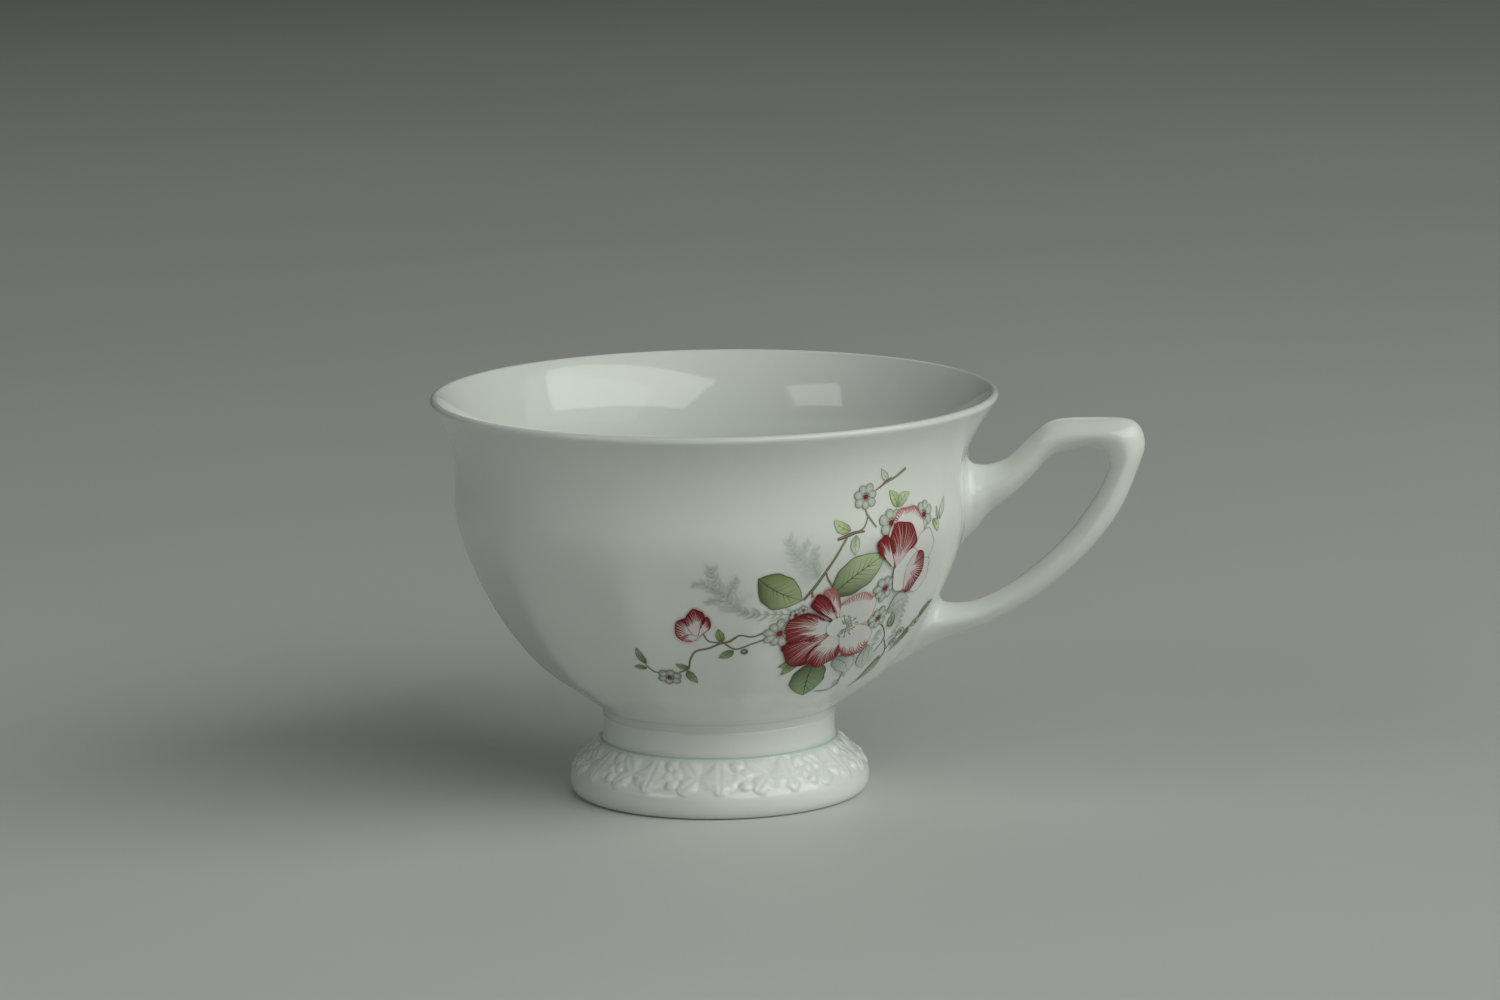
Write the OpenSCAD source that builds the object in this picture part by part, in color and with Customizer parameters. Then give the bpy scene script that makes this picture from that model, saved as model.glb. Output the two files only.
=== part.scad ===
// Footed porcelain teacup: a twelve-panelled bowl with a flared round mouth, standing on a plain
// collar and a spreading foot with a leaf-and-berry relief, and a looped handle luted to one side.
// Millimetres, +Z up. The origin is the centre of the ring that the cup stands on; the handle
// points along +X, in the middle of one panel.

/* [Whole cup] */
// Height from the table to the top of the lip
cup_h = 70; // [68:0.5:73]
// Diameter of the mouth, outside the lip
rim_d = 98.2; // [96:0.2:102]
// Thickness of the thin layer of slip that joins two pieces
slip_t = 0.3; // [0.2:0.05:0.5]

/* [Bowl] */
// Diameter over the ridges at the belly, the widest part below the waist
belly_d = 90.6; // [90:0.2:92]
// Height of the belly above the table
belly_z = 51; // [49.5:0.5:52.5]
// Diameter of the bowl where it sits on the collar
base_d = 38.6; // [38:0.2:39]
// Number of flat panels around the bowl
panels = 12; // [12:2:16]
// Height at which the panels begin to fade into the round upper wall
fade_z0 = 38.5; // [36:0.5:41]
// Height at which no trace of the panels is left
fade_z1 = 54; // [52:0.5:57]
// Height up to which the panel that carries the handle stays flat
land_z0 = 58; // [57:0.5:60]
// Height at which that panel too has gone round
land_z1 = 67.5; // [66:0.5:68]
// Wall thickness at the lip
lip_t = 1.4; // [1.2:0.1:1.8]
// Wall thickness at the belly, measured from the ridges
wall_t = 2.9; // [2.8:0.1:3.3]
// Thickness of the floor over the collar
floor_t = 3.6; // [3:0.1:4.4]

/* [Collar] */
// Diameter of the plain upright collar
collar_d = 40.3; // [40:0.1:41]
// Height of the collar
collar_h = 4.4; // [4:0.1:5]
// Inside diameter of the collar, and of the hollow in the foot where they meet
hollow_d = 33.6; // [32:0.2:34.4]

/* [Foot] */
// Diameter of the foot at its fullest
foot_d = 52.2; // [51:0.2:54]
// Height of the foot
foot_h = 9.5; // [9:0.1:10]
// Diameter of the middle of the ring it stands on
stand_d = 46.8; // [46:0.1:47.6]
// Width of that ring, which is left unglazed
stand_w = 1.8; // [1.4:0.1:2.2]
// Number of times the leaf and berry motif repeats round the foot
motifs = 12; // [11:1:13]
// How far the relief stands up from the foot
relief_h = 0.55; // [0.4:0.05:0.7]

/* [Handle] */
// Half width of the handle along its arm
handle_hw = 3.5; // [3.2:0.1:4]
// Half width of the handle where it spreads on to the bowl
root_hw = 5.2; // [4.8:0.1:5.8]
// Squareness of the handle's cross-section: 1 is a lozenge, 2 is an oval
handle_shape = 1.6; // [1.4:0.05:2]

/* [Hidden] */
$fn = 180;
collar_z = foot_h + slip_t;
collar_top = collar_z + collar_h;
bowl_z = collar_top + slip_t;
panel_angle = 360 / panels;
// Steps across each panel, from one ridge to the next
panel_steps = 5;
// Outward direction of the wall at the lip, and the middle of the rounded lip
lip_out = [0.853, -0.522];
lip_c = [rim_d / 2 - lip_t / 2, cup_h - lip_t / 2];

porcelain = [0.88, 0.90, 0.86];
slip_colour = [0.74, 0.80, 0.74];

// ---- Curves -------------------------------------------------------------------------------

// Point at t on the curve that leaves a towards b and arrives at d from c
function curve_at(a, b, c, d, t) =
    pow(1 - t, 3) * a + 3 * pow(1 - t, 2) * t * b + 3 * (1 - t) * t * t * c + pow(t, 3) * d;

// The same curve as steps + 1 points; skip leaves out its first points
function curve(a, b, c, d, steps, skip = 0) =
    [for (i = [skip:steps]) curve_at(a, b, c, d, i / steps)];

// Smooth step from 0 at a to 1 at b
function ease(a, b, x) =
    let (t = min(1, max(0, (x - a) / (b - a)))) t * t * (3 - 2 * t);

// Point at t between p[k] and p[k + 1] on a smooth line through all the points of p
function through(p, k, t) =
    let (
        n = len(p) - 1,
        a = p[max(0, k - 1)],
        b = p[k],
        c = p[min(n, k + 1)],
        d = p[min(n, k + 2)]
    )
    0.5 * (2 * b + (c - a) * t + (2 * a - 5 * b + 4 * c - d) * t * t
           + (3 * b - a - 3 * c + d) * t * t * t);

// ---- Bowl ---------------------------------------------------------------------------------

// Outside of the wall along a ridge: straight out from the seat on the collar, up round the belly,
// and over the hollow waist to the start of the lip
function ridge_line() =
    let (
        seat = [base_d / 2, bowl_z],
        hip = seat + [8.3, 5.5],
        belly = [belly_d / 2, belly_z],
        lip = lip_c + lip_t / 2 * lip_out
    )
    concat(
        [for (t = [0:0.25:0.75]) seat + t * (hip - seat)],
        curve(hip, hip + [9.2, 6.1], belly - [0, 8.4], belly, 11),
        curve(belly, belly + [0, 2], lip - [5.85, 6.96], lip, 11, 1)
    );

// Inside of the wall, from the lip down to the flat middle of the floor
function inside_line() =
    let (
        lip = lip_c - lip_t / 2 * lip_out,
        belly = [belly_d / 2 - wall_t, belly_z],
        well = [9, bowl_z + floor_t]
    )
    concat(
        curve(lip, lip - [7, 8.6], belly + [0, 2.5], belly, 9),
        curve(belly, belly - [0, 3], well + [26, 0], well, 12, 1)
    );

// The lip's round edge, from the outside of the wall over to the inside
function lip_arc() = [for (a = [-7.2:24.3:140]) lip_c + lip_t / 2 * [cos(a), sin(a)]];

// How flat the panel at angle a is at a height, from 1 down to 0 where the wall is round
function flatness(a, z) =
    let (
        land = cos(a) > cos(0.49 * panel_angle),
        fade = land ? ease(land_z0, land_z1, z) : ease(fade_z0, fade_z1, z)
    )
    ease(bowl_z, bowl_z + 3.5, z) * (1 - fade);

// Distance from the axis at angle a, as a share of the distance at the ridges
function section(a, z) =
    let (t = a - panel_angle * round(a / panel_angle))
    1 - flatness(a, z) * (1 - cos(panel_angle / 2) / cos(t));

// Point of the bowl's outer face at angle a on the ring that passes through p on the ridge line,
// moved outwards by g
function on_wall(p, a, g = 0) =
    let (r = p.x * section(a, p.y) + g)
    [r * cos(a), r * sin(a), p.y];

// Middle of a list of points
function middle(p, i = 0) = i == len(p) - 1 ? p[i] / len(p) : p[i] / len(p) + middle(p, i + 1);

// Solid through a stack of rings that all have the same number of points, with each end closed by
// a fan about its middle
module lofted(rings) {
    m = len(rings[0]);
    n = len(rings) - 1;
    skin = [
        for (i = [0:n - 1])
            for (j = [0:m - 1])
                let (k = (j + 1) % m, a = i * m, b = a + m)
                each [[a + j, b + j, b + k], [a + j, b + k, a + k]]
    ];
    ends = [
        for (j = [0:m - 1])
            let (k = (j + 1) % m)
            each [[(n + 1) * m, j, k], [(n + 1) * m + 1, n * m + k, n * m + j]]
    ];
    polyhedron(
        concat([for (ring = rings) each ring], [middle(rings[0]), middle(rings[n])]),
        concat(skin, ends)
    );
}

module bowl() {
    sides = panels * panel_steps;
    outer = concat(ridge_line(), lip_arc());
    color(porcelain)
        lofted(concat(
            [
                for (p = outer)
                    [for (j = [0:sides - 1]) on_wall(p, (j + 0.5 * panel_steps) * 360 / sides)]
            ],
            [
                for (p = inside_line())
                    [
                        for (j = [0:sides - 1])
                            let (a = (j + 0.5 * panel_steps) * 360 / sides)
                            [p.x * cos(a), p.x * sin(a), p.y]
                    ]
            ]
        ));
}

// The part of the bowl's solid body that lies behind the handle's panel, grown outwards by g
module bowl_side(g) {
    lofted([
        for (p = ridge_line())
            concat(
                [[0, 0, p.y]],
                [
                    for (j = [-panel_steps / 2:panel_steps / 2])
                        on_wall(p, j * panel_angle / panel_steps, g)
                ]
            )
    ]);
}

// ---- Collar and foot ----------------------------------------------------------------------

module neck_collar() {
    r = collar_d / 2;
    top = collar_top;
    outside = concat(
        curve([r + 0.25, collar_z], [r - 0.05, collar_z + 0.6], [r, top - 1.6], [r + 0.15, top - 0.7], 5),
        [for (a = [15:25:90]) [r - 0.4 + 0.55 * cos(a), top - 0.55 + 0.55 * sin(a)]]
    );
    color(porcelain)
        rotate_extrude()
            polygon(concat(outside, [[hollow_d / 2, top], [hollow_d / 2, collar_z]]));
}

// Outside of the foot, from the ring it stands on up to the collar
function foot_line() =
    let (
        stand = [(stand_d + stand_w) / 2, 0],
        full = [foot_d / 2, 0.27 * foot_h],
        top = [collar_d / 2 + 0.6, foot_h]
    )
    concat(
        curve(stand, stand + [1.2, 0], full - [0, 1.5], full, 6),
        curve(full, full + [0, 3.2], top + [2.4, -3.8], top, 8, 1)
    );

// Puts a relief piece on the shoulder of the foot: s from 0 at the full edge to 1 at the collar,
// turned by a round the foot, with its own +Z standing straight out of the slope
module on_shoulder(a, s) {
    line = foot_line();
    i = 6 + s * 8;
    k = floor(i);
    p = line[k] + (line[k + 1] - line[k]) * (i - k);
    d = line[k + 1] - line[k];
    rotate([0, 0, a])
        translate([p.x, 0, p.y])
            rotate([0, atan2(d.y, -d.x), 0])
                children();
}

// A pointed leaf with a sharp midrib: the lens shared by two balls, with its edge standing out of
// the surface and the rest of it cut off a little way below
module leaf(reach, half_t) {
    ball = (reach * reach + half_t * half_t) / (2 * half_t);
    translate([0, 0, relief_h - reach])
        intersection() {
            translate([0, ball - half_t, 0])
                sphere(ball);
            translate([0, half_t - ball, 0])
                sphere(ball);
            translate([-reach, -reach, reach - relief_h - 1.2])
                cube(2 * reach);
        }
}

// One repeat: a three-lobed leaf, three berries and a single slanting leaf
module motif(a) {
    step = 360 / motifs;
    for (lobe = [-1:1])
        on_shoulder(a + lobe * 0.1 * step, 0.5 + 0.06 * abs(lobe))
            rotate([0, 0, 42 * lobe])
                leaf(4, 3);
    for (b = [[0.34, 0.38], [0.43, 0.58], [0.52, 0.38]])
        on_shoulder(a + b.x * step, b.y)
            translate([0, 0, relief_h - 1.1])
                sphere(1.1, $fn = 24);
    on_shoulder(a + 0.72 * step, 0.52)
        rotate([0, 0, -35])
            leaf(4.4, 3);
}

module foot() {
    inner = (stand_d - stand_w) / 2;
    hollow = hollow_d / 2;
    inside = curve([hollow, foot_h], [hollow + 1, foot_h - 4], [inner - 1, 2.5], [inner, 0], 8);
    color(porcelain)
        union() {
            rotate_extrude()
                polygon(concat(foot_line(), inside));
            for (i = [0:motifs - 1])
                motif(i * 360 / motifs);
        }
}

// Ring of slip between two pieces that sit on one another
module slip_ring(r_in, r_out, z) {
    color(slip_colour)
        translate([0, 0, z])
            difference() {
                cylinder(h = slip_t, r = r_out);
                translate([0, 0, -1])
                    cylinder(h = slip_t + 2, r = r_in);
            }
}

module bowl_slip() {
    slip_ring(hollow_d / 2 + 0.2, base_d / 2 - 0.1, collar_top);
}

module foot_slip() {
    slip_ring(hollow_d / 2 + 0.2, collar_d / 2 + 0.2, foot_h);
}

// ---- Handle -------------------------------------------------------------------------------

// Stations from the upper root, over the knee and down to the lower root, as distance from the
// cup's axis and height: outer edge, inner edge, and half width
function stations() = [
    [42.0, 58.4, 42.0, 43.6, root_hw],
    [45.0, 57.5, 45.0, 46.0, root_hw - 0.5],
    [47.6, 57.5, 47.4, 49.0, handle_hw + 0.5],
    [50.8, 58.8, 50.8, 51.6, handle_hw + 0.2],
    [54.2, 62.2, 54.6, 55.1, handle_hw],
    [58.2, 65.1, 58.2, 58.9, handle_hw],
    [64.6, 65.7, 63.6, 60.4, handle_hw],
    [72.0, 65.2, 67.0, 59.8, handle_hw + 0.1],
    [74.2, 61.4, 68.1, 57.4, handle_hw + 0.1],
    [72.7, 56.0, 66.9, 54.2, handle_hw],
    [69.6, 49.1, 64.8, 50.6, handle_hw],
    [64.2, 42.1, 60.6, 45.0, handle_hw],
    [56.2, 35.0, 53.3, 38.3, handle_hw],
    [47.8, 29.9, 45.9, 34.0, handle_hw + 0.1],
    [41.0, 27.3, 40.6, 33.2, handle_hw + 0.5],
    [36.0, 25.2, 37.6, 34.2, root_hw - 0.6],
    [31.4, 22.4, 35.2, 35.6, root_hw],
    [26.2, 20.2, 31.8, 33.6, root_hw]
];

// The whole sweep of the handle, running on into the wall at both ends, grown sideways by g
module handle_sweep(g = 0) {
    sides = 16;
    steps = 4;
    st = stations();
    n = (len(st) - 1) * steps;
    rings = [
        for (i = [0:n])
            let (
                k = min(len(st) - 2, floor(i / steps)),
                q = through(st, k, i / steps - k),
                outer = [q[0], q[1]],
                inner = [q[2], q[3]],
                mid = (outer + inner) / 2,
                reach = (outer - inner) / 2,
                grown = reach * (1 + g / norm(reach))
            )
            [
                for (j = [0:sides - 1])
                    let (
                        a = 360 * j / sides,
                        u = sign(cos(a)) * pow(abs(cos(a)), 2 / handle_shape),
                        v = sign(sin(a)) * pow(abs(sin(a)), 2 / handle_shape)
                    )
                    [mid.x + grown.x * u, (q[4] + g) * v, mid.y + grown.y * u]
            ]
    ];
    lofted(rings);
}

module handle() {
    color(porcelain)
        difference() {
            handle_sweep();
            bowl_side(slip_t);
        }
}

// Slip under one end of the handle, pressed out a little past its edges
module handle_slip(z_low, z_high) {
    color(slip_colour)
        difference() {
            intersection() {
                handle_sweep(0.3);
                bowl_side(slip_t);
                translate([20, -20, z_low])
                    cube([40, 40, z_high - z_low]);
            }
            bowl_side(0);
        }
}

module upper_handle_slip() {
    handle_slip(40, 62);
}

module lower_handle_slip() {
    handle_slip(18, 40);
}

// ---- Cup ----------------------------------------------------------------------------------

bowl();
neck_collar();
foot();
handle();
bowl_slip();
foot_slip();
upper_handle_slip();
lower_handle_slip();
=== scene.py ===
"""Looks of the footed teacup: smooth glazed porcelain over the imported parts, with painted sprays.

Lengths in this file are millimetres unless a name says otherwise; MM turns them into metres.
Angles round the cup are degrees from the handle (+X), growing towards +Y.
"""

import math

import bpy
import numpy as np
from mathutils import Matrix, Vector


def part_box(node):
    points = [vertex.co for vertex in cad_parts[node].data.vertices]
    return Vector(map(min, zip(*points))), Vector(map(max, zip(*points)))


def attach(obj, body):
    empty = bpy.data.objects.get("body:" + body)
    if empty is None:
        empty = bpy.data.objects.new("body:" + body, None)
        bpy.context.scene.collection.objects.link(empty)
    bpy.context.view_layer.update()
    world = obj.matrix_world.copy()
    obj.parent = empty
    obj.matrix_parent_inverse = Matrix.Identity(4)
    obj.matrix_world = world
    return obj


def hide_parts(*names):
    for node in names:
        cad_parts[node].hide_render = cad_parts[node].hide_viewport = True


MM = 0.001

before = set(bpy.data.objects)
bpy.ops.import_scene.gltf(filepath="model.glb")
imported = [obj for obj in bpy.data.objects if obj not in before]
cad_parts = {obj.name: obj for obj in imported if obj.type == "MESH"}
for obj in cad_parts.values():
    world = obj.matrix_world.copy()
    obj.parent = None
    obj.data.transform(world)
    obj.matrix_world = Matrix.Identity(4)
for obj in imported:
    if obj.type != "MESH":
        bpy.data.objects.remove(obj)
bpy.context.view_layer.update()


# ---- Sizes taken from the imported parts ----

def node_box(node):
    """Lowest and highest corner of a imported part, in millimetres."""
    low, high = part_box(node)
    return np.array(low) / MM, np.array(high) / MM


BOWL_LOW, BOWL_HIGH = node_box("bowl")
COLLAR_LOW, COLLAR_HIGH = node_box("neck_collar")
RIM_R = BOWL_HIGH[1]
CUP_H = BOWL_HIGH[2]
SEAT_Z = BOWL_LOW[2]
COLLAR_R = COLLAR_HIGH[1] - 0.25
COLLAR_Z = COLLAR_LOW[2]
COLLAR_TOP = COLLAR_HIGH[2]
FOOT_TOP = node_box("foot")[1][2]
HANDLE_REACH = node_box("handle")[1][0]

# The rest of the cup's form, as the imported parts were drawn
PANELS = 12
PANEL_ANGLE = 360 / PANELS
BELLY_R = 45.3
BELLY_Z = 51.0
SEAT_R = 19.3
LIP_T = 1.4
WALL_T = 2.9
FLOOR_T = 3.6
HOLLOW_R = 16.8
FOOT_R = 26.1
# Inner and outer radius of the standing ring
STAND_R = (22.5, 24.3)
# Heights between which the panels fade into the round waist, and the handle's panel later
FADE_Z = (38.5, 54.0)
LAND_Z = (58.0, 67.5)
# Direction from the middle of the lip to the place where the outer face starts
LIP_OUT = np.array([0.853, -0.522])
# Higher is crisper at the ridges between the panels
RIDGE_SOFTNESS = 70.0
# Spacing of the rows up the wall, and how far its bends are eased
ROW_STEP = 0.5
BEND_REACH = 4.0


# ---- Curves ----

def curve(a, b, c, d, steps, skip=0):
    """Points on the curve that leaves a towards b and arrives at d from c."""
    t = np.linspace(0, 1, steps + 1)[skip:, None]
    a, b, c, d = (np.asarray(p, float) for p in (a, b, c, d))
    return (1 - t) ** 3 * a + 3 * (1 - t) ** 2 * t * b + 3 * (1 - t) * t * t * c + t ** 3 * d


def ease(a, b, x):
    """Smooth step from 0 at a to 1 at b."""
    t = np.clip((np.asarray(x, float) - a) / (b - a), 0, 1)
    return t * t * (3 - 2 * t)


def arc(centre, radius, start, end, steps):
    """Points of a round in the profile plane, from start to end in degrees."""
    a = np.radians(np.linspace(start, end, steps + 1))
    return np.asarray(centre) + radius * np.stack([np.cos(a), np.sin(a)], 1)


def circle(count):
    """Points of a circle of radius 1, evenly spaced."""
    a = np.radians(np.arange(count) * 360 / count)
    return np.stack([np.cos(a), np.sin(a)], 1)


def ray(t):
    """Direction at an angle in radians."""
    return np.array([math.cos(t), math.sin(t)])


def turned(points, t):
    """Points turned about the origin by an angle in radians."""
    return points @ np.array([ray(t), [-math.sin(t), math.cos(t)]])


def lengths(line):
    """Distance along a line at each of its points."""
    return np.concatenate([[0], np.cumsum(np.hypot(*np.diff(line, axis=0).T))])


def through(points, per_span):
    """A smooth line through all the points, with per_span steps between each pair."""
    p = np.asarray(points, float)
    ends = np.vstack([p[:1], p, p[-1:]])
    out = []
    for k in range(len(p) - 1):
        a, b, c, d = ends[k:k + 4]
        for t in np.arange(per_span) / per_span:
            out.append(0.5 * (2 * b + (c - a) * t + (2 * a - 5 * b + 4 * c - d) * t * t
                              + (3 * b - a - 3 * c + d) * t ** 3))
    out.append(p[-1])
    return np.array(out)


# ---- The bowl's outer face ----

LIP_CENTRE = np.array([RIM_R - LIP_T / 2, CUP_H - LIP_T / 2])


def ridge_line():
    """Outside of the wall along a ridge: nearly straight from the seat to the hip, round the belly,
    and over the hollow waist to the start of the lip."""
    seat = np.array([SEAT_R, SEAT_Z])
    hip = seat + [8.3, 5.5]
    belly = np.array([BELLY_R, BELLY_Z])
    lip = LIP_CENTRE + LIP_T / 2 * LIP_OUT
    return np.vstack([
        curve(seat, seat + [2.8, 1.85], hip - [2.8, 1.85], hip, 12),
        curve(hip, hip + [9.2, 6.1], belly - [0, 8.4], belly, 50, 1),
        curve(belly, belly + [0, 2], lip - [5.85, 6.96], lip, 40, 1),
    ])


def soften(line, step, reach):
    """The same line in even steps, with its bends eased over a reach. Its ends stay put."""
    s = lengths(line)
    even = np.linspace(0, s[-1], int(round(s[-1] / step)) + 1)
    line = np.stack([np.interp(even, s, line[:, k]) for k in (0, 1)], 1)
    n = int(round(reach / step))
    low = 2 * line[0] - line[n:0:-1]
    high = 2 * line[-1] - line[-2:-n - 2:-1]
    longer = np.vstack([low, line, high])
    weights = np.cos(np.linspace(-math.pi / 2, math.pi / 2, 2 * n + 3)[1:-1]) ** 2
    weights /= weights.sum()
    return np.stack([np.convolve(longer[:, k], weights, "valid") for k in (0, 1)], 1)


def inside_line():
    """Inside of the wall, from the lip down to the flat middle of the floor."""
    lip = LIP_CENTRE - LIP_T / 2 * LIP_OUT
    belly = np.array([BELLY_R - WALL_T, BELLY_Z])
    well = np.array([9, SEAT_Z + FLOOR_T])
    return np.vstack([
        curve(lip, lip - [7, 8.6], belly + [0, 2.5], belly, 26),
        curve(belly, belly - [0, 3], well + [26, 0], well, 40, 1),
    ])


RIDGE = soften(ridge_line(), ROW_STEP, BEND_REACH)
INSIDE = inside_line()
RIDGE_S = lengths(RIDGE)


def flatness(angle, z):
    """How flat the wall is, from 1 down to 0 where it is round. The handle's panel stays flat
    higher up than the others."""
    off_handle = np.abs((angle + 180) % 360 - 180)
    land = 1 - ease(0.45 * PANEL_ANGLE, 0.55 * PANEL_ANGLE, off_handle)
    fade = land * ease(*LAND_Z, z) + (1 - land) * ease(*FADE_Z, z)
    return ease(SEAT_Z, SEAT_Z + 3.5, z) * (1 - fade)


def section(angle, z):
    """Distance from the axis as a share of the ridge line: a polygon with soft corners, fading to
    a circle at the waist."""
    middle = PANEL_ANGLE * np.round(angle / PANEL_ANGLE)
    t = np.radians(angle - middle)
    flat = math.cos(math.radians(PANEL_ANGLE / 2))
    near = flat / np.cos(t)
    turn = np.radians(PANEL_ANGLE)
    far = flat / np.cos(turn - np.abs(t))
    soft = near - np.log1p(np.exp(-RIDGE_SOFTNESS * (far - near))) / RIDGE_SOFTNESS
    return 1 - flatness(angle, z) * (1 - soft)


def wall_flush(angle, s):
    """Point on the bowl's outer face at an angle and a distance s up the wall."""
    z = np.interp(s, RIDGE_S, RIDGE[:, 1])
    r = np.interp(s, RIDGE_S, RIDGE[:, 0]) * section(angle, z)
    a = np.radians(angle)
    return np.stack([r * np.cos(a), r * np.sin(a), z], -1)


def wall_normal(angle, s):
    """Outward direction of the bowl's face."""
    da, ds = 0.25, 0.2
    s0, s1 = np.clip(s - ds, 0, RIDGE_S[-1]), np.clip(s + ds, 0, RIDGE_S[-1])
    east = wall_flush(angle + da, s) - wall_flush(angle - da, s)
    up = wall_flush(angle, s1) - wall_flush(angle, s0)
    n = np.cross(east, up)
    return n / np.linalg.norm(n, axis=-1, keepdims=True)


def wall(angle, s, lift):
    """Point on the bowl's outer face, lifted off it."""
    return wall_flush(angle, s) + wall_normal(angle, s) * np.asarray(lift)[..., None]


def s_of(z):
    """Distance up the wall at a height."""
    return float(np.interp(z, RIDGE[:, 1], RIDGE_S))


# ---- Mesh building ----

def add_mesh(name, points, faces, material, smooth_angle=40):
    """A smooth mesh piece from points in millimetres."""
    mesh = bpy.data.meshes.new(name)
    mesh.from_pydata((np.asarray(points) * MM).tolist(), [], faces)
    mesh.validate()
    mesh.polygons.foreach_set("use_smooth", [True] * len(mesh.polygons))
    if smooth_angle:
        mesh.set_sharp_from_angle(angle=math.radians(smooth_angle))
    mesh.materials.append(material)
    mesh.update()
    piece = bpy.data.objects.new(name, mesh)
    bpy.context.scene.collection.objects.link(piece)
    return piece


def grid_faces(rows, columns, closed=True, start=0):
    """Quads over rows of points, wrapping round when closed."""
    faces = []
    last = columns if closed else columns - 1
    for i in range(rows - 1):
        for j in range(last):
            k = (j + 1) % columns
            a, b = start + i * columns, start + (i + 1) * columns
            faces.append((a + j, a + k, b + k, b + j))
    return faces


def tube_faces(rows, columns):
    """Quads over rows of points, with the last row joined to the first."""
    last = (rows - 1) * columns
    ring = [(last + j, last + (j + 1) % columns, (j + 1) % columns, j) for j in range(columns)]
    return grid_faces(rows, columns) + ring


def revolve(profile, columns):
    """Points of a profile turned round the cup's axis, row by row."""
    x, y = circle(columns).T
    profile = np.asarray(profile, float)
    r, z = profile[:, 0, None], profile[:, 1, None]
    return np.stack([r * x, r * y, z + 0 * x], -1).reshape(-1, 3)


def close_end(points, faces, columns, first, up):
    """Fills a ring of points with a fan about its middle."""
    ring = np.asarray(points[first:first + columns])
    hub = len(points)
    points = np.vstack([points, ring.mean(0)])
    for j in range(columns):
        k = (j + 1) % columns
        faces.append((first + j, first + k, hub) if up else (first + k, first + j, hub))
    return points, faces


# ---- Materials ----

class Nodes:
    """Short calls for building one material's node tree."""

    def __init__(self, name):
        self.material = bpy.data.materials.new(name)
        self.material.use_nodes = True
        self.tree = self.material.node_tree
        self.tree.nodes.clear()
        self.output = self.tree.nodes.new("ShaderNodeOutputMaterial")
        self.shader = self.tree.nodes.new("ShaderNodeBsdfPrincipled")
        self.link(self.shader.outputs["BSDF"], self.output.inputs["Surface"])
        self.place = self.tree.nodes.new("ShaderNodeTexCoord").outputs["Object"]

    def link(self, a, b):
        self.tree.links.new(a, b)

    def noise(self, scale, detail=3, roughness=0.5):
        node = self.tree.nodes.new("ShaderNodeTexNoise")
        node.inputs["Scale"].default_value = scale
        node.inputs["Detail"].default_value = detail
        node.inputs["Roughness"].default_value = roughness
        self.link(self.place, node.inputs["Vector"])
        return node.outputs["Fac"]

    def ramp(self, value, stops):
        node = self.tree.nodes.new("ShaderNodeValToRGB")
        band = node.color_ramp
        band.interpolation = "EASE"
        while len(band.elements) < len(stops):
            band.elements.new(0.5)
        for element, (at, colour) in zip(band.elements, stops):
            element.position = at
            element.color = (*colour, 1)
        self.link(value, node.inputs["Fac"])
        return node.outputs["Color"]

    def spread(self, value, low, high, to_low, to_high):
        node = self.tree.nodes.new("ShaderNodeMapRange")
        for key, v in (("From Min", low), ("From Max", high), ("To Min", to_low), ("To Max", to_high)):
            node.inputs[key].default_value = v
        self.link(value, node.inputs["Value"])
        return node.outputs["Result"]

    def height(self):
        node = self.tree.nodes.new("ShaderNodeSeparateXYZ")
        self.link(self.place, node.inputs[0])
        return node.outputs["Z"]

    def mix(self, factor, a, b, blend="MIX"):
        node = self.tree.nodes.new("ShaderNodeMix")
        node.data_type = "RGBA"
        node.blend_type = blend
        for value, socket in ((factor, node.inputs[0]), (a, node.inputs[6]), (b, node.inputs[7])):
            if isinstance(value, bpy.types.NodeSocket):
                self.link(value, socket)
            else:
                socket.default_value = (*value, 1) if isinstance(value, tuple) else value
        return node.outputs[2]

    def bump(self, value, strength, distance):
        node = self.tree.nodes.new("ShaderNodeBump")
        node.inputs["Strength"].default_value = strength
        node.inputs["Distance"].default_value = distance
        self.link(value, node.inputs["Height"])
        self.link(node.outputs["Normal"], self.shader.inputs["Normal"])


WHITE_LOW = (0.742, 0.775, 0.747)
WHITE_HIGH = (0.785, 0.81, 0.785)
POOLED = (0.50, 0.63, 0.57)


def glaze(nodes):
    """Gloss of a clear feldspar glaze, with a very faint orange-peel."""
    shader = nodes.shader
    shader.inputs["IOR"].default_value = 1.5
    shader.inputs["Subsurface Weight"].default_value = 0.08
    shader.inputs["Subsurface Radius"].default_value = (1.0, 1.0, 0.9)
    shader.inputs["Subsurface Scale"].default_value = 0.0025
    rough = nodes.spread(nodes.noise(90, 4), 0.3, 0.7, 0.06, 0.10)
    nodes.link(rough, shader.inputs["Roughness"])
    nodes.bump(nodes.noise(420, 2), 0.12, 0.00012)


def body_white(nodes):
    """White of the fired body under its glaze, very slightly uneven."""
    return nodes.ramp(nodes.noise(38, 4, 0.55), [(0.3, WHITE_LOW), (0.7, WHITE_HIGH)])


def porcelain(name, pooled_bands=()):
    """Glazed white porcelain; in each band of heights the glaze has pooled and looks green."""
    nodes = Nodes(name)
    colour = body_white(nodes)
    for middle, half, depth in pooled_bands:
        below = nodes.spread(nodes.height(), (middle - half) * MM, middle * MM, 0, depth)
        above = nodes.spread(nodes.height(), middle * MM, (middle + half) * MM, depth, 0)
        join = nodes.tree.nodes.new("ShaderNodeMath")
        join.operation = "MINIMUM"
        nodes.link(below, join.inputs[0])
        nodes.link(above, join.inputs[1])
        colour = nodes.mix(join.outputs[0], colour, POOLED)
    nodes.link(colour, nodes.shader.inputs["Base Color"])
    glaze(nodes)
    return nodes.material


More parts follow.
